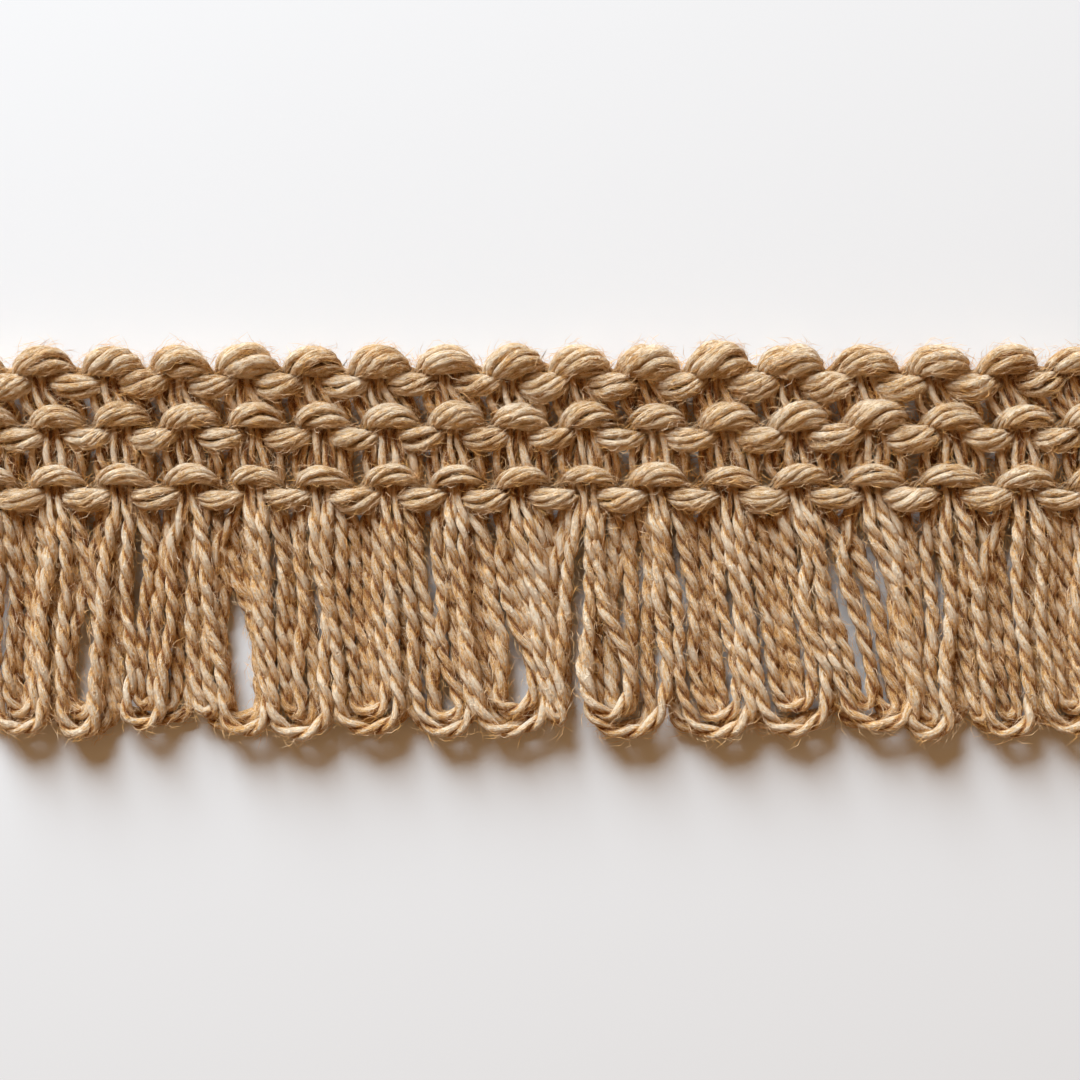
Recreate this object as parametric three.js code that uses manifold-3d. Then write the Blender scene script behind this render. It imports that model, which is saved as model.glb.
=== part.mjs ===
// A cut length of woven loop fringe trim, lying flat and face up, as it is sold by the metre.
//
// Six thick binding cords, in three rows of two, run along the heading. One weft of four yarns goes
// up through the heading, turns at its top edge, comes down beside itself and hangs as a loop before
// it goes up again. The eight yarns of each pass make a sheaf, pinched where the lower cord of a row
// comes to the front. The upper cord of a row lies over the sheaves as a line of beads, and the lower
// cord lies under them and shows as smaller beads between them.
//
// Millimetres. X runs along the strip, Y points from the fringe to the heading's top edge, and Z
// points up from the surface that the strip lies on. The origin is on the flat back of the middle
// sheaf, by the lowest row of beads. The strip is sewn or glued on by that back.
import * as THREE from "three";
import { mergeVertices } from "three/addons/utils/BufferGeometryUtils.js";
import Module from "manifold-3d";

const wasm = await Module();
wasm.setup();

// The trim as a whole
const OVERALL_WIDTH = 38; // from the top of the beads to the bottom of the longest loops
const TOP_EDGE = 11.2; // the beads' top, above the origin
const LOOP_BOTTOM = TOP_EDGE - OVERALL_WIDTH;
const END_OVERHANG = 2.6; // what is left of a binding cord past the last sheaf
const YARN = 1.0; // width of one loop yarn, with its fuzz left out

// The three rows of binding cords, from the top edge down. A row's upper cord lies over the sheaves
// and its lower cord passes under them.
const ROWS = [
  { name: "top", place: "top", upper: 9.6, lower: 7.05, size: 1.22 },
  { name: "middle", place: "middle", upper: 4.15, lower: 1.9, size: 1 },
  { name: "bottom", place: "low", upper: -1.65, lower: -3.85, size: 1 },
];

// Half a repeat of an upper cord, from the middle of its bead over a sheaf to its neck between two.
const UPPER_BEAD = [
  { at: 0.0, rise: 0.0, height: 2.98, wide: 1.3, thick: 0.98 },
  { at: 0.2, rise: 0.0, height: 2.8, wide: 1.16, thick: 0.86 },
  { at: 0.38, rise: -0.1, height: 2.2, wide: 0.74, thick: 0.58 },
  { at: 0.5, rise: -0.2, height: 1.6, wide: 0.42, thick: 0.42 },
];

// Half a repeat of a lower cord, from the middle of its bead between two sheaves to the edge of its
// neck, which runs straight behind a sheaf.
const LOWER_BEAD = [
  { at: 0.0, rise: -0.1, height: 2.3, wide: 1.02, thick: 0.9 },
  { at: 0.16, rise: 0.0, height: 1.95, wide: 0.8, thick: 0.75 },
  { at: 0.31, rise: 0.1, height: 0.45, wide: 0.4, thick: 0.45 },
];
const LOWER_SHIFT = -0.35; // the lower beads sit a little left of the middle of their gap

// The section of a cord, clockwise from the front, in shares of half its width and half its thickness.
const BEAD_SECTION = [
  { across: 0.52, out: 1 },
  { across: 1, out: 0 },
  { across: 0.52, out: -1 },
  { across: -0.52, out: -1 },
  { across: -1, out: 0 },
  { across: -0.52, out: 1 },
];

// Where each sheaf crosses the three rows, along X.
const SHEAVES = [
  { top: -52.5, middle: -51.0, low: -50.9 },
  { top: -45.8, middle: -44.5, low: -44.5 },
  { top: -39.1, middle: -38.2, low: -38.1 },
  { top: -32.6, middle: -31.8, low: -31.6 },
  { top: -26.2, middle: -25.3, low: -25.4 },
  { top: -19.9, middle: -19.0, low: -19.0 },
  { top: -13.5, middle: -12.4, low: -12.3 },
  { top: -7.1, middle: -6.2, low: -6.1 },
  { top: -0.7, middle: 0.0, low: 0.0 },
  { top: 5.7, middle: 6.4, low: 6.6 },
  { top: 12.2, middle: 13.1, low: 13.2 },
  { top: 19.0, middle: 19.9, low: 20.3 },
  { top: 26.0, middle: 26.6, low: 26.8 },
  { top: 33.2, middle: 34.1, low: 33.9 },
  { top: 40.2, middle: 41.5, low: 41.5 },
  { top: 46.9, middle: 48.4, low: 48.6 },
  { top: 53.2, middle: 54.9, low: 55.2 },
];

// One sheaf from its turn at the top edge to its roots below the heading: its back and front, and half
// its width. It lies on the surface under the upper cords and climbs over the lower ones.
const SHEAF_STATIONS = [
  { y: 10.5, back: 0.45, front: 1.3, wide: 1.5 },
  { y: 9.5, back: 0.0, front: 1.35, wide: 2.1 },
  { y: 8.4, back: 0.6, front: 1.7, wide: 1.4 },
  { y: 7.05, back: 1.4, front: 2.5, wide: 0.75 },
  { y: 5.5, back: 0.2, front: 1.5, wide: 1.45 },
  { y: 4.15, back: 0.0, front: 1.35, wide: 2.3 },
  { y: 3.15, back: 0.65, front: 1.7, wide: 1.4 },
  { y: 1.9, back: 1.4, front: 2.5, wide: 0.75 },
  { y: 0.4, back: 0.0, front: 1.6, wide: 1.75 },
  { y: -1.6, back: 0.0, front: 1.35, wide: 2.3 },
  { y: -2.6, back: 0.65, front: 1.7, wide: 1.4 },
  { y: -3.85, back: 1.4, front: 2.5, wide: 0.75 },
  { y: -5.8, back: 0.7, front: 2.4, wide: 1.8 },
];

// A sheaf's section, clockwise from the front, with two ridges where its yarns lie in pairs. Across is
// a share of half the width, and out a share of the way from back to front.
const SHEAF_SECTION = [
  { across: 0.0, out: 0.82 },
  { across: 0.46, out: 1.0 },
  { across: 0.92, out: 0.72 },
  { across: 0.86, out: 0.0 },
  { across: -0.86, out: 0.0 },
  { across: -0.92, out: 0.72 },
  { across: -0.46, out: 1.0 },
];

// The loops of each gap between two sheaves: how far the bottoms of the front and the back loops lean
// to the right, how wide the front loop is, and how much shorter the gap's loops are than the longest.
const LOOP_GROUPS = [
  { lean: -0.3, backLean: 0.8, width: 4.4, short: 0.4 },
  { lean: -1.1, backLean: 1.8, width: 4.0, short: 0.1 },
  { lean: -1.1, backLean: 1.7, width: 4.6, short: 0.9 },
  { lean: 1.9, backLean: 0.8, width: 4.2, short: 0.3 },
  { lean: 1.3, backLean: 1.2, width: 4.8, short: 0.0 },
  { lean: 1.2, backLean: 0.4, width: 5.6, short: 0.4 },
  { lean: 2.2, backLean: -0.6, width: 5.0, short: 0.2 },
  { lean: 2.3, backLean: 0.8, width: 5.0, short: 0.3 },
  { lean: 1.4, backLean: 2.2, width: 3.4, short: 1.5 },
  { lean: 0.5, backLean: 1.0, width: 5.6, short: 0.2 },
  { lean: 2.4, backLean: -0.4, width: 5.8, short: 0.1 },
  { lean: 2.8, backLean: 0.6, width: 5.8, short: 0.3 },
  { lean: 4.2, backLean: 1.2, width: 6.0, short: 0.8 },
  { lean: 2.9, backLean: 0.8, width: 3.8, short: 0.0 },
  { lean: 2.1, backLean: -0.6, width: 4.2, short: 0.1 },
  { lean: 1.8, backLean: 0.6, width: 4.8, short: 0.4 },
];
const BACK_WIDTH = 4.2;

// The four yarns of the weft, by the loop that each makes: how far from the sheaf's middle it leaves
// the heading, and whether it lies in the front or the back layer. An inner loop lies inside the outer
// loop of its layer.
const LOOP_YARNS = [
  { root: 0.5, layer: "front", inset: 0.0, short: 0.0 },
  { root: 1.5, layer: "front", inset: 1.15, short: 1.7 },
  { root: 0.5, layer: "back", inset: 0.0, short: 0.9 },
  { root: 1.5, layer: "back", inset: 1.15, short: 2.7 },
];
const LAYERS = {
  front: { height: 1.85, root: 1.85 },
  back: { height: 0.5, root: 1.25 },
};
const LEAST_HALF_WIDTH = 0.62; // of a loop, so that its two legs stand apart

// The section of a loop yarn, clockwise from the front.
const YARN_SECTION = [
  { across: 1, out: 1 },
  { across: 1, out: -1 },
  { across: -1, out: -1 },
  { across: -1, out: 1 },
];
const ROOT_Y = -5.22; // inside the sheaf, above the end of its solid
const TURN_HEIGHT = 0.85; // of a loop's round bottom, as a share of half its width
const LEG_STEPS = [0, 0.4, 1];
const TURN_STEPS = 4;

const mix = (a, b, t) => a + (b - a) * t;

// A solid of one section, carried along the stations. Each station is a point, the direction across the
// section there, and the section's corners as [across, up] from that point. A cylinder gives the faces:
// its rings of corners go to the stations, and the middles of its caps go to the middles of the ends.
function sweep(stations) {
  const sides = stations[0].section.length;
  const steps = stations.length - 1;
  const shape = new THREE.CylinderGeometry(1, 1, 1, sides, steps);
  const position = shape.getAttribute("position");
  for (let i = 0; i < position.count; i++) {
    const [x, y, z] = [position.getX(i), position.getY(i), position.getZ(i)];
    const { point, across, section } = stations[Math.round((0.5 - y) * steps)];
    const inCapMiddle = Math.hypot(x, z) < 0.5;
    const corner = Math.round((Math.atan2(x, z) / (2 * Math.PI)) * sides);
    const middle = [0, section.reduce((sum, [, up]) => sum + up, 0) / sides];
    const [aside, up] = inCapMiddle ? middle : section[(corner + sides) % sides];
    position.setXYZ(i, point.x + across.x * aside, point.y + across.y * aside, point.z + up);
  }
  return shape;
}

const scaled = (section, wide, thick) => section.map(({ across, out }) => [across * wide, out * thick]);

function solidOf(geometry) {
  geometry.deleteAttribute("normal");
  geometry.deleteAttribute("uv");
  const merged = mergeVertices(geometry);
  const vertProperties = new Float32Array(merged.getAttribute("position").array);
  const triVerts = new Uint32Array(merged.index.array);
  return new wasm.Manifold(new wasm.Mesh({ numProp: 3, vertProperties, triVerts }));
}

function geometryOf(solid) {
  const mesh = solid.getMesh();
  const geometry = new THREE.BufferGeometry();
  geometry.setAttribute("position", new THREE.BufferAttribute(mesh.vertProperties, 3));
  geometry.setIndex(new THREE.BufferAttribute(mesh.triVerts, 1));
  geometry.computeVertexNormals();
  return geometry;
}

// The middle of the gap to the right of a sheaf, on one row. Number -1 is left of the first sheaf.
function gapX(place, number) {
  if (number < 0) return SHEAVES[0][place] - END_OVERHANG;
  if (number >= SHEAVES.length - 1) return SHEAVES.at(-1)[place] + END_OVERHANG;
  return mix(SHEAVES[number][place], SHEAVES[number + 1][place], 0.5);
}

// The stations of one cord: a bead at each middle, and a neck at each end of a bead.
function cordStations(y, bead, beads, size) {
  const stations = [];
  const add = (x, part) => {
    stations.push({
      point: new THREE.Vector3(x, y + part.rise, part.height),
      across: new THREE.Vector3(0, 1, 0),
      section: scaled(BEAD_SECTION, part.wide * size, part.thick),
    });
  };
  beads.forEach(({ left, middle, right }, i) => {
    for (const part of [...bead].reverse()) {
      const alreadyThere = part.at === 0.5 && i > 0;
      if (!alreadyThere) add(mix(middle, left, part.at * 2), part);
    }
    for (const part of bead.slice(1)) add(mix(middle, right, part.at * 2), part);
  });
  return stations;
}

function upperCord(row) {
  const beads = SHEAVES.map((sheaf, i) => ({
    left: gapX(row.place, i - 1),
    middle: sheaf[row.place],
    right: gapX(row.place, i),
  }));
  return sweep(cordStations(row.upper, UPPER_BEAD, beads, row.size));
}

// The lower cord ends in the neck behind the first and the last sheaf, plus a straight cut end.
function lowerCord(row) {
  const beads = SHEAVES.slice(1).map((sheaf, i) => ({
    left: SHEAVES[i][row.place],
    middle: gapX(row.place, i) + LOWER_SHIFT,
    right: sheaf[row.place],
  }));
  const stations = cordStations(row.lower, LOWER_BEAD, beads, 1);
  const [first, last] = [stations[0], stations.at(-1)];
  const beyond = (station, by) => ({ ...station, point: station.point.clone().setX(station.point.x + by) });
  return sweep([beyond(first, -END_OVERHANG), ...stations, beyond(last, END_OVERHANG)]);
}

// Where a sheaf is along X: it runs straight through a row, and shifts over between one row and the next.
function sheafX(sheaf, y) {
  const [top, middle, low] = ROWS;
  const over = (from, to) => {
    const share = (from.lower - y) / (from.lower - to.upper);
    return mix(sheaf[from.place], sheaf[to.place], Math.min(Math.max(share, 0), 1));
  };
  return y > middle.upper ? over(top, middle) : over(middle, low);
}

function sheafSolid(sheaf) {
  const stations = SHEAF_STATIONS.map(({ y, back, front, wide }) => ({
    point: new THREE.Vector3(sheafX(sheaf, y), y, back),
    across: new THREE.Vector3(1, 0, 0),
    section: scaled(SHEAF_SECTION, wide, front - back),
  }));
  return solidOf(sweep(stations));
}

// The line that a hanging yarn follows from its root to where its loop begins to turn.
function leg(rootX, yarn, bottomX, bottomY, lean) {
  const layer = LAYERS[yarn.layer];
  return LEG_STEPS.map((t) => {
    const spread = bottomX - lean - rootX;
    const x = rootX + spread * (1 - (1 - t) ** 2) + lean * t;
    const z = t > 0 ? layer.height : layer.root;
    return new THREE.Vector3(x, mix(ROOT_Y, bottomY, t), z);
  });
}

function yarnSolid(line) {
  const stations = line.map((point, i) => {
    const before = line[Math.max(i - 1, 0)];
    const after = line[Math.min(i + 1, line.length - 1)];
    const along = after.clone().sub(before).setZ(0).normalize();
    const across = new THREE.Vector3(-along.y, along.x, 0);
    return { point, across, section: scaled(YARN_SECTION, YARN / 2, YARN / 2) };
  });
  return solidOf(sweep(stations));
}

// The loops between one sheaf and the next.
function loopSolids(group, left, right) {
  return LOOP_YARNS.map((yarn) => {
    const back = yarn.layer === "back";
    const lean = back ? group.backLean : group.lean;
    const half = Math.max((back ? BACK_WIDTH : group.width) / 2 - yarn.inset, LEAST_HALF_WIDTH);
    const middle = (left.low + right.low) / 2 + lean;
    const lowest = LOOP_BOTTOM + YARN / 2 + group.short + yarn.short;
    const turnY = lowest + half * TURN_HEIGHT;
    const down = leg(left.low + yarn.root, yarn, middle - half, turnY, lean);
    const up = leg(right.low - yarn.root, yarn, middle + half, turnY, lean).reverse();
    const turn = [];
    for (let i = 1; i < TURN_STEPS; i++) {
      const angle = (i * Math.PI) / TURN_STEPS;
      const dip = Math.sin(angle) * half * TURN_HEIGHT;
      turn.push(new THREE.Vector3(middle - Math.cos(angle) * half, turnY - dip, LAYERS[yarn.layer].height));
    }
    return yarnSolid([...down, ...turn, ...up]);
  });
}

// The weft: every sheaf, with the loops that hang between each and the next.
function weft() {
  let solid = SHEAVES.map(sheafSolid).reduce((all, sheaf) => all.add(sheaf));
  LOOP_GROUPS.forEach((group, i) => {
    for (const loop of loopSolids(group, SHEAVES[i], SHEAVES[i + 1])) solid = solid.add(loop);
  });
  return geometryOf(solid);
}

const CORD_COLOUR = 0xc39b6b;
const WEFT_COLOUR = 0xbf9462;
const ROUGHNESS = 0.92;

const trim = new THREE.Group();
const addPiece = (name, geometry, color) => {
  const cotton = new THREE.MeshStandardMaterial({ color, roughness: ROUGHNESS, metalness: 0 });
  const piece = new THREE.Mesh(geometry, cotton);
  piece.name = name;
  trim.add(piece);
};
for (const row of ROWS) {
  addPiece(`${row.name}_upper_cord`, upperCord(row), CORD_COLOUR);
  addPiece(`${row.name}_lower_cord`, lowerCord(row), CORD_COLOUR);
}
addPiece("weft_with_loops", weft(), WEFT_COLOUR);

export default trim;
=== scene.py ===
import math

import bmesh
import bpy
import numpy as np
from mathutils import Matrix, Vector


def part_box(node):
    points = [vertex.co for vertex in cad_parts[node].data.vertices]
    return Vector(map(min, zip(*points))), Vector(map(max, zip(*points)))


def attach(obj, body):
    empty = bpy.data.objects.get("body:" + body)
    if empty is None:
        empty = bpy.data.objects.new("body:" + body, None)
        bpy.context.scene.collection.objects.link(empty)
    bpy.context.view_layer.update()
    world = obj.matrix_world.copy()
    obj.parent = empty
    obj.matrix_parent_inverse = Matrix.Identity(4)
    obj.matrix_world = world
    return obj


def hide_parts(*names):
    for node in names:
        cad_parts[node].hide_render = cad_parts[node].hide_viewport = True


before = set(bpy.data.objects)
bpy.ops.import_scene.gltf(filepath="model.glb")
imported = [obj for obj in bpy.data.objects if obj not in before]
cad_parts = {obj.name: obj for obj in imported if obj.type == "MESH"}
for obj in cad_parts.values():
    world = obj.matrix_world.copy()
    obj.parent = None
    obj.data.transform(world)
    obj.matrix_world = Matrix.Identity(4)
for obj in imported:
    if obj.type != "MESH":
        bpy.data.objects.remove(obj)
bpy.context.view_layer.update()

# The camera looks straight down on the trim, square to its length, as the photo does. The photo's
# square frame takes in 104 mm of the trim, and the trim runs out of it on both sides. It sees what
# lies between its nearest and furthest distance, which are shares of its height.
MM = 0.001
PHOTO_PIXELS = 1080
PIXELS_PER_MM = 10.42
PHOTO_MIDDLE = Vector((1.92, -7.5, 2.0)) * MM
LENS = 85.0
SENSOR = 36.0
NEAREST = 0.05
FURTHEST = 20

camera_data = bpy.data.cameras.new("camera")
camera_data.lens = LENS
camera_data.sensor_width = SENSOR
camera = bpy.data.objects.new("camera", camera_data)
bpy.context.scene.collection.objects.link(camera)
bpy.context.scene.camera = camera
camera_height = PHOTO_PIXELS / PIXELS_PER_MM * MM * LENS / SENSOR
camera.location = PHOTO_MIDDLE + Vector((0, 0, camera_height))
camera_data.clip_start = camera_height * NEAREST
camera_data.clip_end = camera_height * FURTHEST

# The weft: four two-ply cotton yarns, carried together by the loom. Each goes up through the heading
# between the binding cords, turns at the top edge, comes down beside itself, hangs as a loop and
# goes up again at the next place. The eight strands of one pass make a sheaf. Sizes are in mm.
YARN_PLIES = 2
YARN_TURN = 4.9
YARN_STEPS = 9
YARN_SIDES = 6
YARN_ROUNDING = 0.45
PLY_RADIUS = 0.42
PLY_OFFSET = 0.3
PLY_WANDER = 0.1
# In the heading the yarns are pulled straight: less twisted, with thinner plies a little apart. They
# swell again over the last stretch above the root, and below it they have their whole twist.
HEADING_TWIST = 0.45
HEADING_THINNER = 0.15
HEADING_LOOSER = 0.2
ROOT_Y = -4.9
ROOT_STRETCH = 1.5
# Thick and thin places along a yarn: how much thicker, and how many steps long.
SLUB = 0.09
SLUB_STEPS = 9
# Where the seventeen sheaves cross each row of the heading, and how far apart they usually are.
SHEAVES = {
    "top": [-52.5, -45.8, -39.1, -32.6, -26.2, -19.9, -13.5, -7.1, -0.7]
    + [5.7, 12.2, 19.0, 26.0, 33.2, 40.2, 46.9, 53.2],
    "middle": [-51.0, -44.5, -38.2, -31.8, -25.3, -19.0, -12.4, -6.2, 0.0]
    + [6.4, 13.1, 19.9, 26.6, 34.1, 41.5, 48.4, 54.9],
    "bottom": [-50.9, -44.5, -38.1, -31.6, -25.4, -19.0, -12.3, -6.1, 0.0]
    + [6.6, 13.2, 20.3, 26.8, 33.9, 41.5, 48.6, 55.2],
}
USUAL_SPACING = 6.5
# Where the two cords of each row lie across the trim, and how thick they are beside the usual cord.
ROWS = {
    "top": dict(upper=9.5, lower=7.25, upper_size=1.22, lower_size=1.08),
    "middle": dict(upper=4.3, lower=2.2, upper_size=0.95, lower_size=1.0),
    "bottom": dict(upper=-1.4, lower=-3.55, upper_size=0.76, lower_size=0.93),
}
# Down a sheaf: how high the back and the front strands lie, how far apart their middles are, how much
# lower the outer ones lie, and how thick they are there. The back strands lie a little to the right,
# and closer together unless the place has its own width for them. Every strand strays a little
# sideways, up and down.
SHEAF = [
    dict(y=9.2, back=0.7, front=1.4, apart=1.0, crown=0.1, squeeze=0.95),
    dict(y=8.4, back=0.9, front=1.6, apart=1.0, crown=0.2, squeeze=0.95),
    dict(y=7.15, back=1.3, front=2.05, apart=1.0, crown=0.5, squeeze=0.9),
    dict(y=6.2, back=1.0, front=2.05, apart=1.5, crown=0.3, squeeze=1.0),
    dict(y=5.3, back=0.8, front=2.0, apart=1.52, crown=0.1, squeeze=1.08),
    dict(y=4.3, back=0.65, front=1.35, apart=1.48, crown=0.1, squeeze=1.0),
    dict(y=3.2, back=0.85, front=1.6, apart=1.1, crown=0.2, squeeze=0.95),
    dict(y=2.1, back=1.3, front=2.05, apart=1.0, crown=0.5, squeeze=0.9),
    dict(y=1.1, back=1.0, front=2.05, apart=1.5, crown=0.3, squeeze=1.0),
    dict(y=-0.2, back=0.8, front=2.0, apart=1.52, crown=0.1, squeeze=1.08),
    dict(y=-1.4, back=0.65, front=1.35, apart=1.48, crown=0.1, squeeze=1.0),
    dict(y=-2.5, back=0.85, front=1.6, apart=1.1, crown=0.2, squeeze=0.95),
    dict(y=-3.65, back=1.3, front=2.0, apart=0.95, crown=0.6, squeeze=0.85, back_apart=1.45),
]
BACK_SHIFT = 0.25
BACK_CLOSER = 0.95
INNER_COLUMN = 0.5
STRAND_SWAY = 0.09
STRAND_LIFT = 0.05
# The turn at the top edge: the places round it, its half width for each column, and its reach.
TOP_TURN = (0.2, 0.5, 0.8)
TOP_HALF = 0.85
TOP_REACH = 0.4
# The loops between one sheaf and the next: how far a group leans to the right, how much shorter it hangs,
# and the left and right leg of each of its four loops at the bottom, from the middle of the group. The
# outer and the inner loop are the front ones. The wide loop and the core fill the back.
LOOPS = [
    dict(lean=-0.2, short=0.4, outer=(-2.2, 2.2), inner=(-1.2, 1.2), wide=(-3.4, 3.1), core=(-0.4, 0.4)),
    dict(lean=-1.0, short=0.1, outer=(-1.55, 1.55), inner=(-0.9, 1.3), wide=(-2.5, 3.0), core=(-1.2, 2.1)),
    dict(lean=-1.25, short=0.9, outer=(-1.7, 1.7), inner=(-0.6, 0.65), wide=(-2.7, 4.3), core=(0.6, 3.0)),
    dict(lean=2.1, short=0.3, outer=(-2.0, 2.2), inner=(-4.3, -2.9), wide=(-3.5, 1.6), core=(-1.6, 1.8)),
    dict(lean=1.13, short=0.0, outer=(-2.65, 2.65), inner=(-1.4, 0.2), wide=(-3.1, 3.0), core=(-0.5, 1.4)),
    dict(lean=1.25, short=0.4, outer=(-2.9, 2.9), inner=(-1.5, 1.5), wide=(-2.6, 3.85), core=(-0.5, 0.6)),
    dict(lean=2.2, short=0.2, outer=(-2.5, 2.5), inner=(-1.35, 1.35), wide=(-3.2, 3.1), core=(-1.1, 1.5)),
    dict(lean=2.5, short=0.3, outer=(-3.3, 3.3), inner=(-1.6, 1.85), wide=(-2.2, 2.6), core=(-1.2, 2.3)),
    dict(lean=0.6, short=1.2, outer=(-0.9, 0.2), inner=(-1.6, -0.5), wide=(-1.3, 0.0), core=(-0.6, 0.5)),
    dict(lean=0.25, short=0.1, outer=(-3.6, 3.6), inner=(-2.0, 2.0), wide=(-2.6, 2.4), core=(-1.3, 0.7)),
    dict(lean=2.45, short=0.1, outer=(-3.05, 3.05), inner=(-1.7, 1.7), wide=(-4.2, 3.7), core=(-0.8, 0.4)),
    dict(lean=2.85, short=0.3, outer=(-3.05, 3.05), inner=(-1.75, 1.75), wide=(-3.9, 4.3), core=(-0.6, 0.6)),
    dict(lean=4.4, short=0.8, outer=(-3.5, 3.5), inner=(-2.2, -0.8), wide=(-3.9, 4.1), core=(0.0, 1.7)),
    dict(lean=1.7, short=0.0, outer=(-1.85, 1.85), inner=(-0.65, 0.65), wide=(-2.4, 3.1), core=(-0.5, 4.2)),
    dict(lean=2.05, short=0.1, outer=(-1.95, 1.95), inner=(-3.3, -2.2), wide=(-3.0, 3.2), core=(-0.4, 0.75)),
    dict(lean=1.2, short=0.4, outer=(-2.2, 2.2), inner=(-1.1, 1.1), wide=(-2.9, 3.2), core=(-0.4, 0.4)),
]
# Some groups open only low down. Above, their legs meet: how far from the middle, and how far down.
MEETING = {
    1: dict(inner=0.5, core=1.4, until=0.3),
    3: dict(core=0.5, until=0.35),
    6: dict(inner=0.5, core=1.5, until=0.62),
    7: dict(inner=0.35, core=1.35, until=0.6),
}
# They have met from this share of their length on, and they take this share to part again.
MEETING_FROM = 0.3
PARTING = 0.2
# The four yarns: the column that each fills in the sheaf, which loop it hangs as, how high it lies, how
# much shorter it hangs, and how much thicker it is.
WEFT_YARNS = [
    dict(column=0.5, layer="front", hangs="outer", height=2.2, short=0.0, full=1.0),
    dict(column=1.5, layer="front", hangs="inner", height=1.65, short=1.6, full=1.0),
    dict(column=0.5, layer="back", hangs="wide", height=0.84, short=0.5, full=1.2),
    dict(column=1.5, layer="back", hangs="core", height=1.0, short=1.6, full=1.2),
]
# How much of its yarn's shortness a loop takes, at least and at most.
SHORTER_BY = (0.7, 1.5)
# A loop's legs: the shares of their length where their points lie, how soon they have spread, how far
# they sway and in how many waves, how unevenly they lie, how much higher they are at the root, and how
# far from the sheaf's middle they start there, as a share of the spacing for each column.
LEG_POINTS = (0.06, 0.15, 0.27, 0.4, 0.52, 0.64, 0.76, 0.88)
HURRY = 3.3
SWAY = {"front": 0.24, "back": 0.07}
SWAY_WAVES = 3
LEG_LIFT = 0.06
ROOT_RISE = 0.4
ROOT_RISE_FADE = 4
ROOT_SPREAD = {"front": 0.175, "back": 0.275}
# The turn at a loop's bottom is a half ellipse, and the yarn reaches a little below its middle line.
# Its depth is a share of its half width, less a little. It tilts by an angle, in radians, for each mm
# that its group leans.
LOOP_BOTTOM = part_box("weft_with_loops")[0].y / MM
YARN_BELOW = 0.65
LEAST_HALF_WIDTH = 0.55
TURN_DEPTH = {"front": 1.0, "back": 0.55}
TURN_FLATTER = (0.8, 1.0)
TURN_TILT = 0.1
TURN_POINTS = 9
# One inner loop is twisted once, so that its legs cross and it hangs as an eye.
EYE_GROUP = 9
EYE = [
    dict(x=7.3, y=-7.5, z=2.2),
    dict(x=7.75, y=-11.5, z=2.3),
    dict(x=8.0, y=-13.8, z=2.6),
    dict(x=9.2, y=-16.3, z=2.4),
    dict(x=10.35, y=-19.0, z=2.3),
    dict(x=10.65, y=-21.3, z=2.2),
    dict(x=10.0, y=-23.5, z=2.2),
    dict(x=8.5, y=-24.5, z=2.4),
    dict(x=6.8, y=-23.0, z=2.6),
    dict(x=5.95, y=-20.0, z=2.3),
    dict(x=6.35, y=-16.8, z=1.8),
    dict(x=7.9, y=-13.8, z=1.4),
    dict(x=9.4, y=-10.5, z=0.9),
    dict(x=11.2, y=-7.0, z=0.9),
]
random = np.random.default_rng(seed=7)


def sheaf_x(number, y):
    """Where a sheaf is along the trim: straight through a row, moving over between rows."""
    above, below = ("top", "middle") if y > ROWS["middle"]["upper"] else ("middle", "bottom")
    start, end = ROWS[above]["lower"], ROWS[below]["upper"]
    share = min(max((start - y) / (start - end), 0), 1)
    return SHEAVES[above][number] * (1 - share) + SHEAVES[below][number] * share


def sheaf_strand(number, yarn, side):
    """One strand of a sheaf, from the top edge down. Side is -1 for the strand that came up."""
    before = max(number - 1, 0)
    after = min(number + 1, len(LOOPS))
    room = (SHEAVES["middle"][after] - SHEAVES["middle"][before]) / (after - before) / USUAL_SPACING
    strand = []
    back = yarn["layer"] == "back"
    for station in SHEAF:
        apart = station.get("back_apart", station["apart"] * BACK_CLOSER) if back else station["apart"]
        aside = side * yarn["column"] * apart * room
        x = sheaf_x(number, station["y"]) + aside + BACK_SHIFT * back
        z = station[yarn["layer"]] - station["crown"] * (yarn["column"] - INNER_COLUMN)
        strand.append((x, station["y"], z, station["squeeze"]))
    strand = np.array(strand)
    strand[:, 0] += random.normal(0, STRAND_SWAY, len(strand))
    strand[:, 2] += random.normal(0, STRAND_LIFT, len(strand))
    return strand


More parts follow.
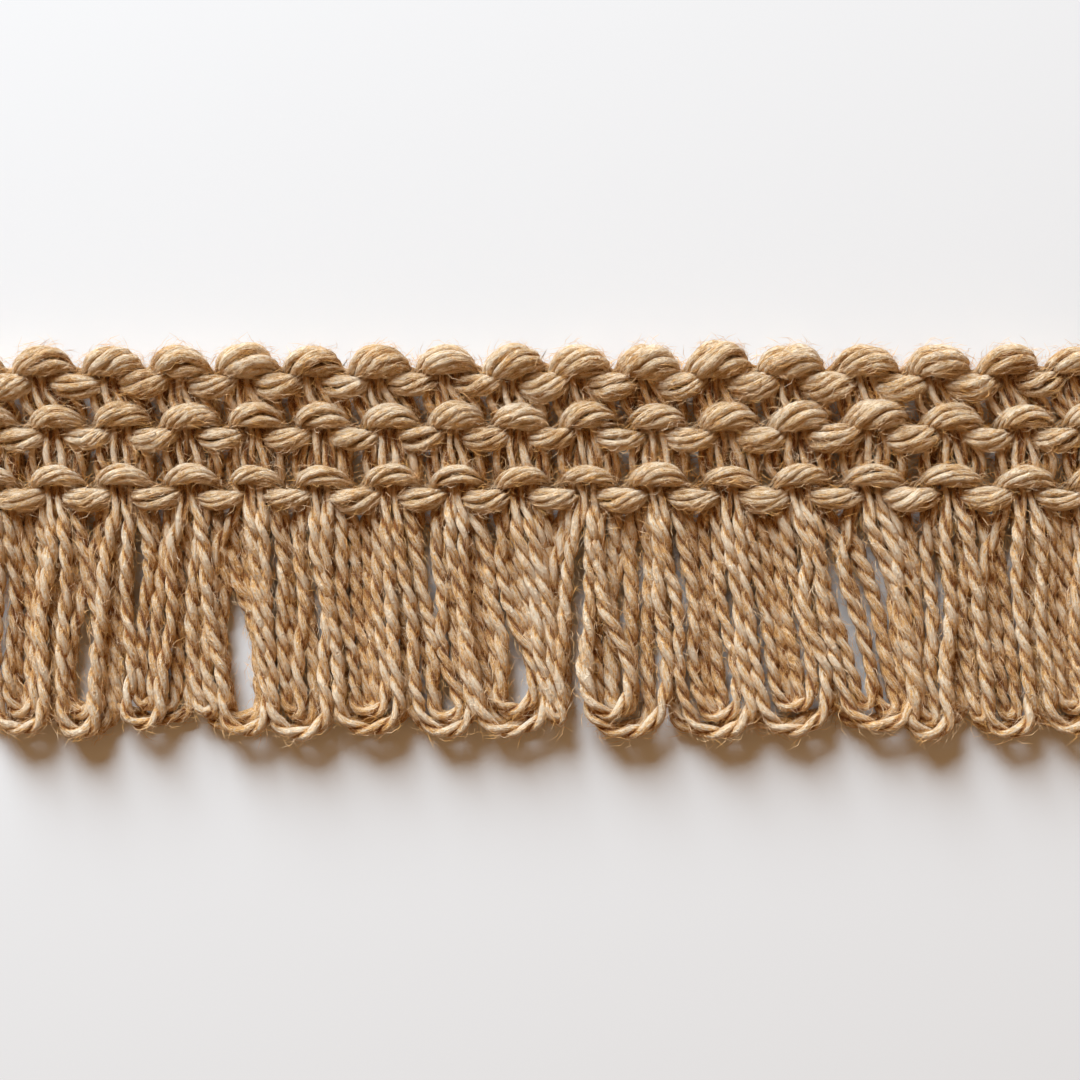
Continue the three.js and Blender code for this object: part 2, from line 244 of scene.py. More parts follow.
def hanging_loop(number, yarn):
    """One loop between two sheaves, from its root under the left one to its root under the right one."""
    if number == EYE_GROUP and yarn["hangs"] == "inner":
        return np.array([(stop["x"], stop["y"], stop["z"], 1.0) for stop in EYE])
    group = LOOPS[number]
    lean = group["lean"]
    sheaves = SHEAVES["bottom"][number : number + 2]
    centre = sum(sheaves) / 2
    bottoms = [centre + lean + leg for leg in group[yarn["hangs"]]]
    middle = sum(bottoms) / 2
    half = max(bottoms[1] - middle, LEAST_HALF_WIDTH)
    depth = half * random.uniform(*TURN_FLATTER) * TURN_DEPTH[yarn["layer"]]
    fan = yarn["column"] * ROOT_SPREAD[yarn["layer"]] * (sheaves[1] - sheaves[0])
    short = group["short"] + yarn["short"] * random.uniform(*SHORTER_BY)
    turn_y = LOOP_BOTTOM + YARN_BELOW + short + depth
    tilt = TURN_TILT * lean
    meeting = MEETING.get(number, {})
    legs = []
    for side, sheaf in zip((-1, 1), sheaves):
        leg = []
        sway = random.normal(0, SWAY[yarn["layer"]], SWAY_WAVES)
        root = sheaf - side * fan
        spread = middle + side * half - lean - root
        for share in LEG_POINTS:
            x = root + spread * (1 - (1 - share) ** HURRY) + lean * share
            if yarn["hangs"] in meeting:
                parted = min(max((share - meeting["until"]) / PARTING, 0), 1)
                met = centre + lean * share + side * meeting[yarn["hangs"]]
                x += (met - x) * min(share / MEETING_FROM, 1) * (1 - parted)
            x += sum(part * math.sin(wave * math.pi * share) for wave, part in enumerate(sway, start=1))
            y = ROOT_Y + (turn_y + side * half * math.sin(tilt) - ROOT_Y) * share
            rise = ROOT_RISE * (1 - share) ** ROOT_RISE_FADE
            leg.append((x, y, yarn["height"] + rise + random.normal(0, LEG_LIFT), 1.0))
        legs.append(leg)
    turn = []
    for angle in np.linspace(0, math.pi, TURN_POINTS):
        aside = -math.cos(angle) * half
        down = math.sin(angle) * depth
        x = middle + aside * math.cos(tilt) + down * math.sin(tilt)
        y = turn_y + aside * math.sin(tilt) - down * math.cos(tilt)
        turn.append((x, y, yarn["height"], 1.0))
    return np.array(legs[0] + turn + legs[1][::-1])


def weft_route(yarn):
    """The way of one yarn through the whole trim: its points, and how far it is squeezed there."""
    route = []
    for number in range(len(SHEAVES["top"])):
        up = sheaf_strand(number, yarn, -1)[::-1]
        down = sheaf_strand(number, yarn, 1)
        route.append(up)
        top = (up[-1] + down[0]) / 2
        half = yarn["column"] * TOP_HALF
        for turned in TOP_TURN:
            angle = turned * math.pi
            route.append([top + (-math.cos(angle) * half, math.sin(angle) * TOP_REACH, 0.0, 0.0)])
        route.append(down)
        if number < len(LOOPS):
            route.append(hanging_loop(number, yarn))
    return np.vstack(route)


# How far the rounding of a corner takes in the line on each side, as so many roundings.
ROUNDING_REACH = 2.5


def smooth_line(points, step, rounding):
    """A line through the points in even steps, with its corners rounded. Later columns follow."""
    points = np.asarray(points, float)
    walked = np.append(0, np.cumsum(np.linalg.norm(np.diff(points[:, :3], axis=0), axis=1)))
    even = np.linspace(0, walked[-1], int(walked[-1] / step) + 1)
    line = np.column_stack([np.interp(even, walked, column) for column in points.T])
    reach = int(ROUNDING_REACH * rounding / step)
    weights = np.exp(-0.5 * (np.arange(-reach, reach + 1) * step / rounding) ** 2)
    weights /= weights.sum()
    ends = [np.repeat(line[:1], reach, axis=0), line, np.repeat(line[-1:], reach, axis=0)]
    return np.column_stack([np.convolve(column, weights, "valid") for column in np.vstack(ends).T])


def across(line):
    """Along a line at every point, and the two directions square to it: sideways and upwards."""
    along = np.gradient(line, axis=0)
    along /= np.linalg.norm(along, axis=1)[:, None]
    side = np.cross((0, 0, 1), along)
    side /= np.linalg.norm(side, axis=1)[:, None]
    return along, side, np.cross(along, side)


# The twist of a yarn isn't even: how far apart its tighter and looser places are in mm, and how far
# they turn the plies, in radians.
TWIST_PLACES = 3.0
TWIST_DRIFT = 0.35


def twist(line, count, turn, step, radius, offset, wander, flat=1.0):
    """The plies of one S-twisted yarn along a line: their points, their radii, and the line. Wander is
    how far a ply strays round the yarn, and its thickness varies by half as much."""
    along, side, up = across(line)
    walked = np.arange(len(line)) * step
    marks = np.arange(0, walked[-1] + TWIST_PLACES, TWIST_PLACES)
    drift = np.interp(walked, marks, random.normal(0, TWIST_DRIFT, len(marks)))
    turned = np.cumsum(np.full(len(line), step) / turn)
    angle = random.uniform(0, math.tau) - math.tau * turned + drift
    plies = []
    for start in np.arange(count) * math.tau / count:
        own = angle + start + np.interp(walked, marks, random.normal(0, wander, len(marks)))
        size = np.interp(walked, marks, random.normal(1, wander / 2, len(marks)))
        aside = np.cos(own)[:, None] * side + flat * np.sin(own)[:, None] * up
        points = line + aside * np.reshape(offset, (-1, 1))
        plies.append((points, radius * size, line))
    return plies


# What lies on the floor stays this far above it, in metres, so that the two faces aren't one.
FLOOR_GAP = 0.02 * MM


def drawn_out(name, plies, sides):
    """One mesh of closed round tubes, each drawn along a ply from a ring 1 mm in radius."""
    ring = bpy.data.curves.new(f"section_{sides}", "CURVE")
    round_section = ring.splines.new("POLY")
    round_section.points.add(sides - 1)
    for number, point in enumerate(round_section.points):
        angle = math.tau * number / sides
        point.co = (math.cos(angle) * MM, math.sin(angle) * MM, 0, 1)
    round_section.use_cyclic_u = True
    curve = bpy.data.curves.new(name, "CURVE")
    curve.dimensions = "3D"
    curve.bevel_mode = "OBJECT"
    curve.bevel_object = bpy.data.objects.new(ring.name, ring)
    for points, radii, _ in plies:
        spline = curve.splines.new("POLY")
        spline.points.add(len(points) - 1)
        spline.points.foreach_set("co", np.column_stack([points * MM, np.ones(len(points))]).ravel())
        spline.points.foreach_set("radius", radii)
    route = bpy.data.objects.new(name, curve)
    bpy.context.scene.collection.objects.link(route)
    ready = route.evaluated_get(bpy.context.evaluated_depsgraph_get())
    mesh = bpy.data.meshes.new_from_object(ready)
    bpy.data.objects.remove(route)
    form = bmesh.new()
    form.from_mesh(mesh)
    bmesh.ops.holes_fill(form, edges=[edge for edge in form.edges if edge.is_boundary], sides=0)
    bmesh.ops.recalc_face_normals(form, faces=form.faces)
    for vertex in form.verts:
        vertex.co.z = max(vertex.co.z, FLOOR_GAP)
    form.to_mesh(mesh)
    form.free()
    return mesh


# Far enough apart that no two plies have the same streaks, in mm.
STREAKS_APART = 500


def mark_plies(mesh, plies, sides):
    """Each point of the plies knows where it is in its ply's section and along it (fibre), how far out
    of the groove between the plies it is (crest, which sets the painted groove shade), and which way its ply
    runs (along)."""
    surface = np.empty(len(mesh.vertices) * 3)
    mesh.vertices.foreach_get("co", surface)
    surface = surface.reshape(-1, sides, 3) / MM
    around = np.arange(sides) * math.tau / sides
    fibre = []
    crest = []
    tangent = []
    first = 0
    for points, radii, middle in plies:
        length = np.append(0, np.cumsum(np.linalg.norm(np.diff(points, axis=0), axis=1)))[:, None]
        reach = np.reshape(radii, (-1, 1))
        along = random.uniform(0, STREAKS_APART) + length + 0 * around
        fibre.append(np.stack([reach * np.cos(around), reach * np.sin(around), along], axis=-1))
        rings = surface[first : first + len(points)]
        out = np.linalg.norm(rings - middle[:, None], axis=-1)
        furthest = np.linalg.norm(points - middle, axis=1)[:, None] + reach
        crest.append(out / furthest)
        tangent.append(np.repeat(across(points)[0], sides, axis=0))
        first += len(points)
    for name, kind, key, parts in (
        ("fibre", "FLOAT_VECTOR", "vector", fibre),
        ("crest", "FLOAT", "value", crest),
        ("along", "FLOAT_VECTOR", "vector", tangent),
    ):
        values = np.concatenate([part.ravel() for part in parts])
        mesh.attributes.new(name, kind, "POINT").data.foreach_set(key, values)


def plied(name, plies, sides, material):
    """A yarn or a cord: one piece of all its plies."""
    mesh = drawn_out(name, plies, sides)
    mark_plies(mesh, plies, sides)
    mesh.shade_smooth()
    mesh.materials.clear()
    mesh.materials.append(material)
    piece = bpy.data.objects.new(name, mesh)
    bpy.context.scene.collection.objects.link(piece)
    return piece


# The cotton that every yarn and cord is spun from: tan, matt and soft. Its fibres run along each ply
# as fine streaks, and stray ones cross them. The dye takes a little unevenly. Painted shade darkens the
# grooves between the plies and the yarns that lie low in the trim, and painted light brightens the ply
# crests and the highest yarns a touch.
class Wire:
    """A socket of a node tree, which takes part in Python's arithmetic."""

    def __init__(self, tree, socket=None):
        self.tree = tree
        self.socket = socket

    def node(self, kind, inputs, output=0, stops=(), **settings):
        """A new node: its settings and its ramp's stops are set first, then its inputs."""
        made = self.tree.nodes.new(kind)
        for name, value in settings.items():
            setattr(made, name, value)
        for number, (position, colour) in enumerate(stops):
            ramp = made.color_ramp.elements
            stop = ramp[number] if number < len(ramp) else ramp.new(position)
            stop.position = position
            stop.color = (*colour, 1)
        for name, value in inputs.items():
            if isinstance(value, Wire):
                self.tree.links.new(value.socket, made.inputs[name])
            else:
                made.inputs[name].default_value = value
        return Wire(self.tree, made.outputs[output])

    def beside(self, output):
        """Another output of the same node."""
        return Wire(self.tree, self.socket.node.outputs[output])

    def maths(self, operation, first, second=0.0):
        return self.node("ShaderNodeMath", {0: first, 1: second}, operation=operation)

    def __abs__(self):
        return self.maths("ABSOLUTE", self)

    def __add__(self, other):
        return self.maths("ADD", self, other)

    def __radd__(self, other):
        return self.maths("ADD", other, self)

    def __sub__(self, other):
        return self.maths("SUBTRACT", self, other)

    def __rsub__(self, other):
        return self.maths("SUBTRACT", other, self)

    def __mul__(self, other):
        return self.maths("MULTIPLY", self, other)

    def __rmul__(self, other):
        return self.maths("MULTIPLY", other, self)

    def __lt__(self, other):
        return self.maths("LESS_THAN", self, other)

    def __gt__(self, other):
        return self.maths("GREATER_THAN", self, other)


DARK_COTTON = (0.3, 0.096, 0.013)
COTTON = (0.75, 0.408, 0.132)
CORD_COTTON = (0.7, 0.44, 0.2)
PALE_COTTON = (0.93, 0.75, 0.55)
# How tone runs from dark to pale cotton, and the tone of cotton that nothing lightens or darkens.
DARK_TONE = 0.1
DYED_TONE = 0.5
PALE_TONE = 0.9
USUAL_TONE = 0.6
# The streaks and the finer threads along a ply: how often they change across it and along it, for
# each mm, and how much they lighten or darken it.
STREAK_SCALE = (5.0, 5.0, 0.8)
STREAK_TONE = 1.25
THREAD_SCALE = (13.0, 13.0, 2.2)
THREAD_TONE = 1.4
# The uneven dye and the stray fibres: how often they change, for each metre. A stray lies where its
# noise is near the middle, and the noise's distortion curls it.
DYE_SCALE = 260.0
DYE_TONE = 0.9
STRAY_SCALES = (1300.0, 1700.0, 2300.0)
STRAY_CURL = 0.6
STRAY_WIDTH = 0.03
STRAY_TONE = 0.22
# A ply is darkest up to the first crest, as painted shade in the groove, and lightest from the second
# one on, as a painted highlight on its crest.
GROOVE_CREST = 0.42
OPEN_CREST = 0.86
CREST_HIGHLIGHT_TONE = 0.08
# Cotton at the lower height or under it is darkened most, as painted shade on the yarns that lie low
# in the trim, and cotton at the upper height or over it is a touch lighter, as painted light.
LOW_HEIGHT = 0.6 * MM
LOW_PAINTED_SHADE = -0.33
TOP_HEIGHT = 2.6 * MM
TOP_PAINTED_LIGHT = 0.03
# How far the streaks, threads and strays stand out, as shares of the relief's depth.
STREAK_RELIEF = 0.5
THREAD_RELIEF = 0.4
STRAY_RELIEF = 0.15
RELIEF_DEPTH = 0.35 * MM
NOISE_MIDDLE = 0.5


def cotton(name, dye, shade, groove):
    """Spun cotton. Shade is how much darker all of it is, and groove how much painted shade darkens the
    grooves.
    """
    material = bpy.data.materials.new(name)
    material.use_nodes = True
    start = Wire(material.node_tree)
    surface = start.tree.nodes["Principled BSDF"]
    fibre = start.node("ShaderNodeAttribute", {}, output="Vector", attribute_name="fibre")
    crest = start.node("ShaderNodeAttribute", {}, output="Fac", attribute_name="crest")
    place = start.node("ShaderNodeTexCoord", {}, output="Object")
    coarse = start.node("ShaderNodeMapping", {"Vector": fibre, "Scale": STREAK_SCALE})
    fine = start.node("ShaderNodeMapping", {"Vector": fibre, "Scale": THREAD_SCALE})
    streaks = start.node("ShaderNodeTexNoise", {"Vector": coarse, "Scale": 1.0, "Detail": 3.0})
    threads = start.node("ShaderNodeTexNoise", {"Vector": fine, "Scale": 1.0, "Detail": 2.0})
    uneven = start.node("ShaderNodeTexNoise", {"Vector": place, "Scale": DYE_SCALE, "Detail": 2.0})
    lines = []
    for scale in STRAY_SCALES:
        swirl = start.node(
            "ShaderNodeTexNoise", {"Vector": place, "Scale": scale, "Distortion": STRAY_CURL}
        )
        line = start.node(
            "ShaderNodeMapRange",
            {
                "Value": abs(swirl - NOISE_MIDDLE),
                "From Min": 0.0,
                "From Max": STRAY_WIDTH,
                "To Min": 1.0,
                "To Max": 0.0,
            },
        )
        lines.append(line)
    strays = lines[0] + lines[1] + lines[2]
    # Painted shade in the grooves between the plies and a painted highlight on their crests, from how far
    # out of the groove each point lies.
    depth = start.node(
        "ShaderNodeMapRange",
        {
            "Value": crest,
            "From Min": GROOVE_CREST,
            "From Max": OPEN_CREST,
            "To Min": -groove,
            "To Max": CREST_HIGHLIGHT_TONE,
        },
        interpolation_type="SMOOTHSTEP",
    )
    height = start.node("ShaderNodeSeparateXYZ", {"Vector": place}, output="Z")
    # Painted shade on the cotton that lies low in the trim, and a touch of painted light on the highest.
    under = start.node(
        "ShaderNodeMapRange",
        {
            "Value": height,
            "From Min": LOW_HEIGHT,
            "From Max": TOP_HEIGHT,
            "To Min": LOW_PAINTED_SHADE,
            "To Max": TOP_PAINTED_LIGHT,
        },
    )
    tone = (streaks - NOISE_MIDDLE) * STREAK_TONE + (threads - NOISE_MIDDLE) * THREAD_TONE
    tone = tone + (uneven - NOISE_MIDDLE) * DYE_TONE + strays * STRAY_TONE
    tone = tone + depth + under + USUAL_TONE
    colour = start.node(
        "ShaderNodeValToRGB",
        {"Fac": tone},
        stops=[
            (DARK_TONE + shade, DARK_COTTON),
            (PALE_TONE + shade, PALE_COTTON),
            (DYED_TONE + shade, dye),
        ],
    )
    relief = streaks * STREAK_RELIEF + threads * THREAD_RELIEF + strays * STRAY_RELIEF
    bump = start.node(
        "ShaderNodeBump", {"Height": relief, "Strength": 1.0, "Distance": RELIEF_DEPTH}
    )
    start.tree.links.new(colour.socket, surface.inputs["Base Color"])
    start.tree.links.new(bump.socket, surface.inputs["Normal"])
    surface.inputs["Roughness"].default_value = 0.85
    surface.inputs["Specular IOR Level"].default_value = 0.25
    surface.inputs["Sheen Weight"].default_value = 0.3
    surface.inputs["Sheen Roughness"].default_value = 0.5
    surface.inputs["Sheen Tint"].default_value = (1.0, 0.88, 0.75, 1)
    return material


yarn_cotton = cotton("yarn_cotton", COTTON, shade=0.01, groove=0.6)
weft_pieces = []
step = YARN_TURN / YARN_STEPS
for number, yarn in enumerate(WEFT_YARNS, start=1):
    line = smooth_line(weft_route(yarn), step, YARN_ROUNDING)
    uneven = np.convolve(random.normal(0, 1, len(line)), np.ones(SLUB_STEPS), "same")
    slubs = 1 + SLUB * uneven / math.sqrt(SLUB_STEPS)
    held = np.clip((line[:, 1] - ROOT_Y) / ROOT_STRETCH, 0, 1)
    pair = twist(
        line[:, :3],
        YARN_PLIES,
        YARN_TURN / np.where(line[:, 1] > ROOT_Y, HEADING_TWIST, 1),
        step,
        PLY_RADIUS * line[:, 3] * slubs * yarn["full"] * (1 - HEADING_THINNER * held),
        PLY_OFFSET * line[:, 3] * (1 + HEADING_LOOSER * held),
        PLY_WANDER,
    )
    strand = plied(f"weft_yarn_{number}", pair, YARN_SIDES, yarn_cotton)
    weft_pieces.append(strand)
    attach(strand, "root")
    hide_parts("weft_with_loops")

# The binding cords: six warps that run the length of the heading, each a soft cord of seven plies. The
# upper cord of a row lies over the sheaves as a line of beads and dips between them. The lower cord
# passes behind the sheaves and comes to the front between them. Sizes are in mm.
# The cords are drawn in two copies of one cotton. The top row's copy is darker, as painted shade, because
# the window lights that row most. The other rows' copy is lighter, as painted light.
edge_cotton = cotton("edge_cotton", CORD_COTTON, shade=0.185, groove=0.2)
cord_cotton = cotton("cord_cotton", CORD_COTTON, shade=0.1, groove=0.2)
CORD_PLIES = 7
CORD_TURN = 13.0
CORD_STEP = 0.5
CORD_SIDES = 5
CORD_ROUNDING = 0.22
# A ply's radius beside the cord's half width, how far the plies stray, how flat the cord is pressed, and
# how far it runs past the outermost sheaves.
CORD_PLY = 0.355
CORD_WANDER = 0.25
CORD_FLATNESS = 0.78
CORD_OVERHANG = 2.6
# One bead, from its middle to its neck: how far along it is as a share of the bead's length, how far
# across the trim and how high its middle lies, and its half width.
UPPER_BEAD = [
    dict(at=0.0, rise=0.15, height=2.85, half=1.38),
    dict(at=0.11, rise=0.1, height=2.85, half=1.34),
    dict(at=0.2, rise=-0.05, height=2.75, half=1.18),
    dict(at=0.29, rise=-0.3, height=2.3, half=0.94),
    dict(at=0.37, rise=-0.75, height=1.4, half=0.62),
    dict(at=0.43, rise=-0.98, height=1.0, half=0.5),
    dict(at=0.5, rise=-1.1, height=0.9, half=0.5),
]
LOWER_BEAD = [
    dict(at=0.0, rise=-0.1, height=2.6, half=1.25),
    dict(at=0.12, rise=-0.05, height=2.6, half=1.2),
    dict(at=0.22, rise=0.1, height=2.4, half=1.0),
    dict(at=0.31, rise=0.3, height=1.8, half=0.7),
    dict(at=0.38, rise=0.4, height=0.9, half=0.45),
    dict(at=0.46, rise=0.4, height=0.5, half=0.42),
]
# How far a lower cord's beads are off the middle between two sheaves. They are a little to the left.
LOWER_SHIFT = -0.45
# No two beads are alike: how their thickness, place, height and slant vary, and how much of a wider
# spacing goes into a thicker bead.
BEAD_SIZE = 0.08
BEAD_PLACE = 0.08
BEAD_LIFT = 0.05
BEAD_SLANT = 0.07
BEAD_GROWTH = 0.6


def bead_points(left, middle, right, y, bead, size):
    """The control points of one bead, from its left neck to its right neck."""
    points = []
    grow = size * random.normal(1, BEAD_SIZE) * ((right - left) / USUAL_SPACING) ** BEAD_GROWTH
    y = y + random.normal(0, BEAD_PLACE)
    lift = random.normal(0, BEAD_LIFT)
    slant = random.normal(0, BEAD_SLANT)
    for side, end in ((-1, left), (1, right)):
        parts = bead[::-1] if side < 0 else bead[1:]
        for part in parts:
            x = middle + (end - middle) * part["at"] * 2
            slanted = y + part["rise"] + slant * (x - middle)
            points.append((x, slanted, part["height"] + lift, part["half"] * grow))
    return points


def cord_line(row, upper):
    """The way of one cord along its row, and its half width there."""
    places = SHEAVES[row]
    gaps = [(a + b) / 2 for a, b in zip(places, places[1:])]
    gaps = [places[0] - CORD_OVERHANG, *gaps, places[-1] + CORD_OVERHANG]
    size = ROWS[row]["upper_size" if upper else "lower_size"]
    points = []
    if upper:
        for number, place in enumerate(places):
            left, right = gaps[number : number + 2]
            new = bead_points(left, place, right, ROWS[row]["upper"], UPPER_BEAD, size)
            points += new[1:] if number else new
    else:
        for number, middle in enumerate(gaps[1:-1]):
            left, right = places[number : number + 2]
            points += bead_points(
                left, middle + LOWER_SHIFT, right, ROWS[row]["lower"], LOWER_BEAD, size
            )
        points = [(gaps[0], *points[0][1:]), *points, (gaps[-1], *points[-1][1:])]
    return smooth_line(points, CORD_STEP, CORD_ROUNDING)


cord_pieces = []
for row in ROWS:
    for kind in ("upper", "lower"):
        line = cord_line(row, kind == "upper")
        half = line[:, 3]
        ply = half * CORD_PLY
        plies = twist(
            line[:, :3],
            CORD_PLIES,
            CORD_TURN,
            CORD_STEP,
            ply,
            half - ply,
            CORD_WANDER,
            CORD_FLATNESS,
        )
        node = f"{row}_{kind}_cord"
        # The top row takes the darker copy, as painted shade, and the other rows take the lighter one, as
        # painted light.
        dyed = edge_cotton if row == "top" else cord_cotton
        cord = plied(f"{node}_plies", plies, CORD_SIDES, dyed)
        cord_pieces.append(cord)
        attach(cord, "root")
        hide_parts(node)

# The fuzz: loose cotton fibres, each a thin bent needle. The laid ones arch a little off their ply and
# the wild ones stand off in all directions as a halo. The deep ones are wisps of several fibres, low
# down in the heading and just below it, which bridge its openings.
HAIR_SIDES = 3
ANYWHERE = 1000.0
# Each kind's radius, the height below which it grows and the place across the trim beyond which it
# does, all in mm, and its shapes: for each mm of length, how far a hair reaches along the ply, bends
# aside, arches and rises.
HAIRS = {
    "laid": dict(
        radius=0.011,
        below=ANYWHERE,
        beyond=-ANYWHERE,
        curls=[
            dict(reach=1.0, bend=0.12, lift=0.05, rise=0.0),
            dict(reach=-1.0, bend=-0.16, lift=0.08, rise=0.05),
            dict(reach=0.95, bend=-0.1, lift=0.1, rise=0.1),
            dict(reach=-0.95, bend=0.2, lift=0.06, rise=0.0),
        ],
    ),
    "wild": dict(
        radius=0.011,
        below=ANYWHERE,
        beyond=-ANYWHERE,
        curls=[
            dict(reach=0.8, bend=0.2, lift=0.16, rise=0.15),
            dict(reach=-0.75, bend=-0.26, lift=0.12, rise=0.3),
            dict(reach=0.6, bend=-0.3, lift=0.1, rise=0.45),
            dict(reach=-0.85, bend=0.16, lift=0.22, rise=0.0),
        ],
    ),
    "deep": dict(
        radius=0.02,
        below=1.3,
        beyond=-7.5,
        curls=[
            dict(reach=1.0, bend=0.25, lift=0.05, rise=0.0),
            dict(reach=1.0, bend=-0.2, lift=0.05, rise=0.1),
        ],
    ),
}
# Each growth: on what, which hairs, how many for each square metre, how far they are turned out of line
# in radians, and their least and greatest length in mm.
GROWTHS = {
    "laid_loop_fuzz": dict(on="loops", hair="laid", density=3.6e6, turn=0.5, least=0.9, most=2.4, seed=11),
    "wild_loop_fuzz": dict(on="loops", hair="wild", density=3.6e6, turn=1.2, least=0.4, most=1.6, seed=23),
    "laid_cord_fuzz": dict(on="cords", hair="laid", density=5.6e6, turn=0.5, least=0.9, most=2.2, seed=37),
    "wild_cord_fuzz": dict(on="cords", hair="wild", density=6.0e6, turn=1.2, least=0.25, most=1.0, seed=41),
    "deep_fuzz": dict(on="both", hair="deep", density=9.0e6, turn=3.0, least=1.2, most=2.6, seed=53),
}
GROWN_ON = {
    "loops": dict(plies=weft_pieces, slot="loop_yarn"),
    "cords": dict(plies=cord_pieces, slot="binding_cord"),
    "both": dict(plies=weft_pieces + cord_pieces, slot="loop_yarn"),
}
# Where another ply lies above, hardly any hair grows, because it wouldn't be seen. The look upwards
# starts a little off the ply and ends well above the trim.
HIDDEN_LOSS = 0.93
LOOK_FROM = 0.03 * MM
LOOK_TO = 10 * MM
# How often the colour of the hairs changes, for each metre, and where it is dyed and palest.
HAIR_SCALE = 700.0
DYED_HAIR = 0.4
PALE_HAIR = 0.75


def hair_cotton():
    """Single fibres: from the dyed colour to the palest, from one place to the next."""
    material = bpy.data.materials.new("hair_cotton")
    material.use_nodes = True
    start = Wire(material.node_tree)
    surface = start.tree.nodes["Principled BSDF"]
    place = start.node("ShaderNodeTexCoord", {}, output="Object")
    mixed = start.node("ShaderNodeTexNoise", {"Vector": place, "Scale": HAIR_SCALE, "Detail": 2.0})
    colour = start.node(
        "ShaderNodeValToRGB", {"Fac": mixed}, stops=[(DYED_HAIR, COTTON), (PALE_HAIR, PALE_COTTON)]
    )
    start.tree.links.new(colour.socket, surface.inputs["Base Color"])
    surface.inputs["Roughness"].default_value = 0.8
    surface.inputs["Specular IOR Level"].default_value = 0.2
    return material


loose_cotton = hair_cotton()


def hair_shapes(name, hair):
    """Hairs 1 mm long, each a stretched ball of six faces that reaches, bends, arches and rises."""
    shapes = bpy.data.collections.new(name)
    for curl in hair["curls"]:
        form = bmesh.new()
        bmesh.ops.create_uvsphere(form, u_segments=HAIR_SIDES, v_segments=2, radius=MM / 2)
        for vertex in form.verts:
            share = vertex.co.z / MM + 0.5
            arch = 4 * share * (1 - share)
            thick = Vector((0, vertex.co.x, vertex.co.y)) * 2 * hair["radius"]
            lift = curl["lift"] * arch + curl["rise"] * share
            vertex.co = Vector((curl["reach"] * share, curl["bend"] * arch, lift)) * MM + thick
        bmesh.ops.recalc_face_normals(form, faces=form.faces)
        mesh = bpy.data.meshes.new(name)
        form.to_mesh(mesh)
        form.free()
        mesh.materials.append(loose_cotton)
        shapes.objects.link(bpy.data.objects.new(name, mesh))
    return shapes


hair_kinds = {kind: hair_shapes(f"{kind}_hair", hair) for kind, hair in HAIRS.items()}


def hair_growth(name, plies, growth):
    """The geometry nodes that scatter hairs over the plies, mostly where they are open from above."""
    hair = HAIRS[growth["hair"]]
    turn = growth["turn"]
    seed = growth["seed"]
    tree = bpy.data.node_groups.new(name, "GeometryNodeTree")
    tree.interface.new_socket("Geometry", in_out="OUTPUT", socket_type="NodeSocketGeometry")
    start = Wire(tree)
    joined = start.node("GeometryNodeJoinGeometry", {})
    for piece in plies:
        found = start.node("GeometryNodeObjectInfo", {"Object": piece}, output="Geometry")
        tree.links.new(found.socket, joined.socket.node.inputs["Geometry"])
    place = start.node("GeometryNodeInputPosition", {})
    height = start.node("ShaderNodeSeparateXYZ", {"Vector": place}, output="Z")
    row = start.node("ShaderNodeSeparateXYZ", {"Vector": place}, output="Y")
    wanted = (height < hair["below"] * MM) * (row > hair["beyond"] * MM)
    facing = start.node("GeometryNodeInputNormal", {})
    off = start.node(
        "ShaderNodeVectorMath",
        {0: facing, 1: (LOOK_FROM, LOOK_FROM, LOOK_FROM)},
        operation="MULTIPLY",
    )
    looking = start.node("ShaderNodeVectorMath", {0: place, 1: off}, operation="ADD")
    covered = start.node(
        "GeometryNodeRaycast",
        {
            "Target Geometry": joined,
            "Source Position": looking,
            "Ray Direction": (0.0, 0.0, 1.0),
            "Ray Length": LOOK_TO,
        },
    )
    scatter = start.node(
        "GeometryNodeDistributePointsOnFaces",
        {"Mesh": joined, "Density": (1 - covered * HIDDEN_LOSS) * wanted * growth["density"], "Seed": seed},
    )
    along = start.node("GeometryNodeInputNamedAttribute", {"Name": "along"}, data_type="FLOAT_VECTOR")
    laid = start.node(
        "FunctionNodeAlignRotationToVector",
        {"Rotation": scatter.beside("Rotation"), "Vector": along},
        axis="X",
        pivot_axis="Z",
    )
    tilt = start.node(
        "FunctionNodeRandomValue",
        {"Min": (-turn, -turn, -turn), "Max": (turn, turn, turn), "Seed": seed},
        data_type="FLOAT_VECTOR",
    )
    turned = start.node(
        "FunctionNodeRotateRotation", {"Rotation": laid, "Rotate By": tilt}, rotation_space="LOCAL"
    )
    kinds = start.node(
        "GeometryNodeCollectionInfo",
        {"Collection": hair_kinds[growth["hair"]], "Separate Children": True, "Reset Children": True},
    )
    length = start.node(
        "FunctionNodeRandomValue",
        {"Min": growth["least"], "Max": growth["most"], "Seed": seed + 1},
        output=1,
    )
    hairs = start.node(
        "GeometryNodeInstanceOnPoints",
        {"Points": scatter, "Instance": kinds, "Pick Instance": True, "Rotation": turned, "Scale": length},
    )
    whole = start.node("GeometryNodeRealizeInstances", {"Geometry": hairs})
    tree.links.new(whole.socket, tree.nodes.new("NodeGroupOutput").inputs["Geometry"])
    return tree


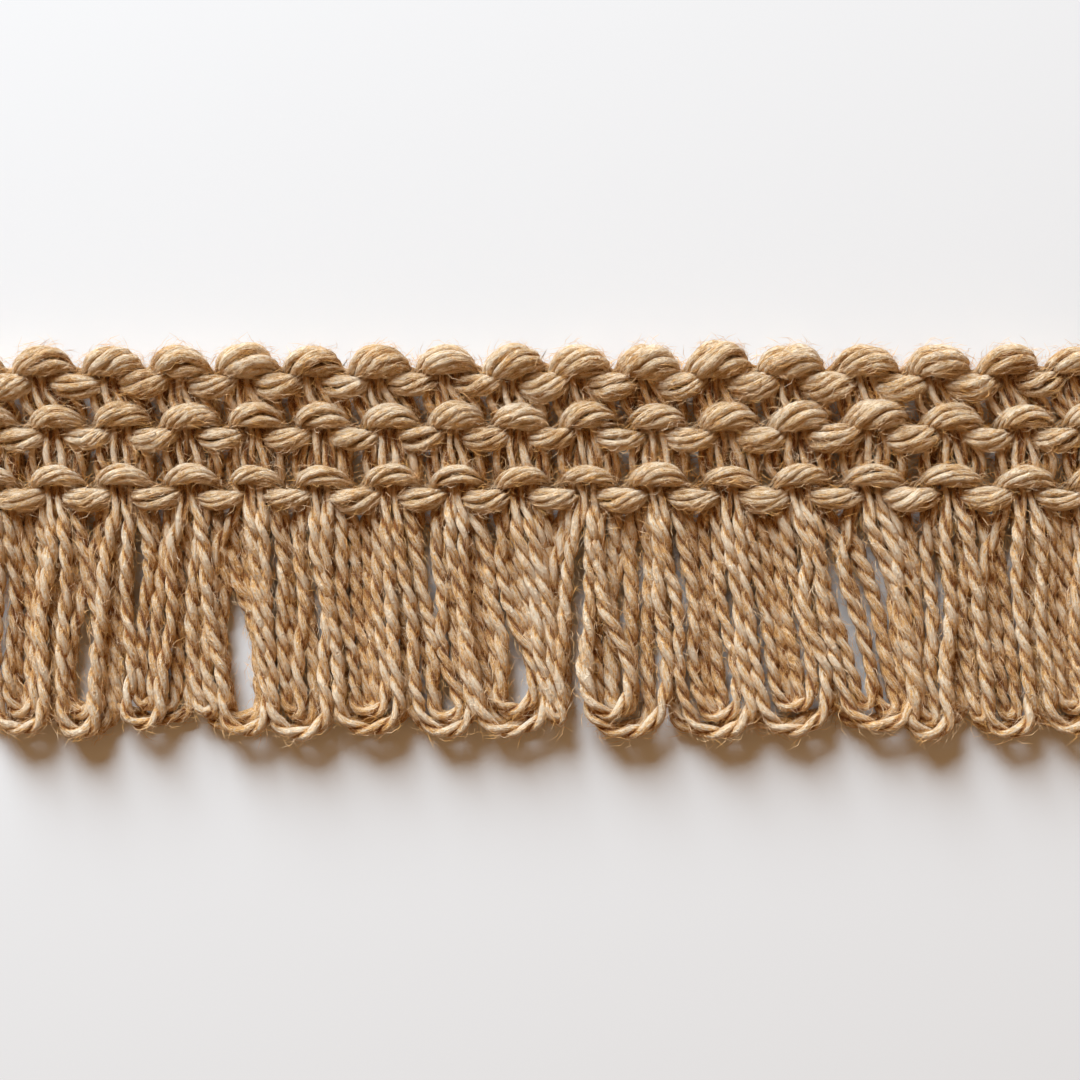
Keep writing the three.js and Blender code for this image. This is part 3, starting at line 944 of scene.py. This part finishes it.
def fuzz(name, plies, growth):
    """One mesh of all the hairs of one growth."""
    grower = bpy.data.objects.new(name, bpy.data.meshes.new(name))
    bpy.context.scene.collection.objects.link(grower)
    grower.modifiers.new("grow", "NODES").node_group = hair_growth(name, plies, growth)
    ready = grower.evaluated_get(bpy.context.evaluated_depsgraph_get())
    mesh = bpy.data.meshes.new_from_object(ready)
    bpy.data.objects.remove(grower)
    for vertex in mesh.vertices:
        vertex.co.z = max(vertex.co.z, FLOOR_GAP)
    piece = bpy.data.objects.new(name, mesh)
    bpy.context.scene.collection.objects.link(piece)
    return piece


for name, growth in GROWTHS.items():
    ground = GROWN_ON[growth["on"]]
    hairs = fuzz(name, ground["plies"], growth)
    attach(hairs, "root")

# A plain pale surface that the trim lies on. It isn't part of the trim.
FLOOR_SIDE = 3.0
FLOOR_PAINT = (0.81, 0.81, 0.82, 1)
floor_form = bmesh.new()
bmesh.ops.create_grid(floor_form, x_segments=1, y_segments=1, size=FLOOR_SIDE / 2)
floor_mesh = bpy.data.meshes.new("floor")
floor_form.to_mesh(floor_mesh)
floor_form.free()
floor = bpy.data.objects.new("floor", floor_mesh)
bpy.context.scene.collection.objects.link(floor)
floor_paint = bpy.data.materials.new("floor_paint")
floor_paint.use_nodes = True
floor_surface = floor_paint.node_tree.nodes["Principled BSDF"]
floor_surface.inputs["Base Color"].default_value = FLOOR_PAINT
floor_surface.inputs["Roughness"].default_value = 0.8
floor_mesh.materials.append(floor_paint)

# Soft daylight from a window beyond the heading, and a warm pale room all round. Sizes are in metres.
ROOM_COLOUR = (1.0, 0.58, 0.27, 1)
ROOM_STRENGTH = 0.29
WINDOW_PLACE = Vector((-0.42, 0.945, 0.5))
WINDOW_WIDTH = 0.6
WINDOW_HEIGHT = 0.7
WINDOW_POWER = 31.4
WINDOW_COLOUR = (0.795, 0.913, 1.0)
world = bpy.data.worlds.new("room")
world.use_nodes = True
world.node_tree.nodes["Background"].inputs["Color"].default_value = ROOM_COLOUR
world.node_tree.nodes["Background"].inputs["Strength"].default_value = ROOM_STRENGTH
bpy.context.scene.world = world
window_data = bpy.data.lights.new("window", "AREA")
window_data.shape = "RECTANGLE"
window_data.size = WINDOW_WIDTH
window_data.size_y = WINDOW_HEIGHT
window_data.energy = WINDOW_POWER
window_data.color = WINDOW_COLOUR
window = bpy.data.objects.new("window", window_data)
window.location = WINDOW_PLACE
window.rotation_euler = (-WINDOW_PLACE).to_track_quat("-Z", "Y").to_euler()
bpy.context.scene.collection.objects.link(window)
bpy.context.scene.view_settings.view_transform = "Standard"
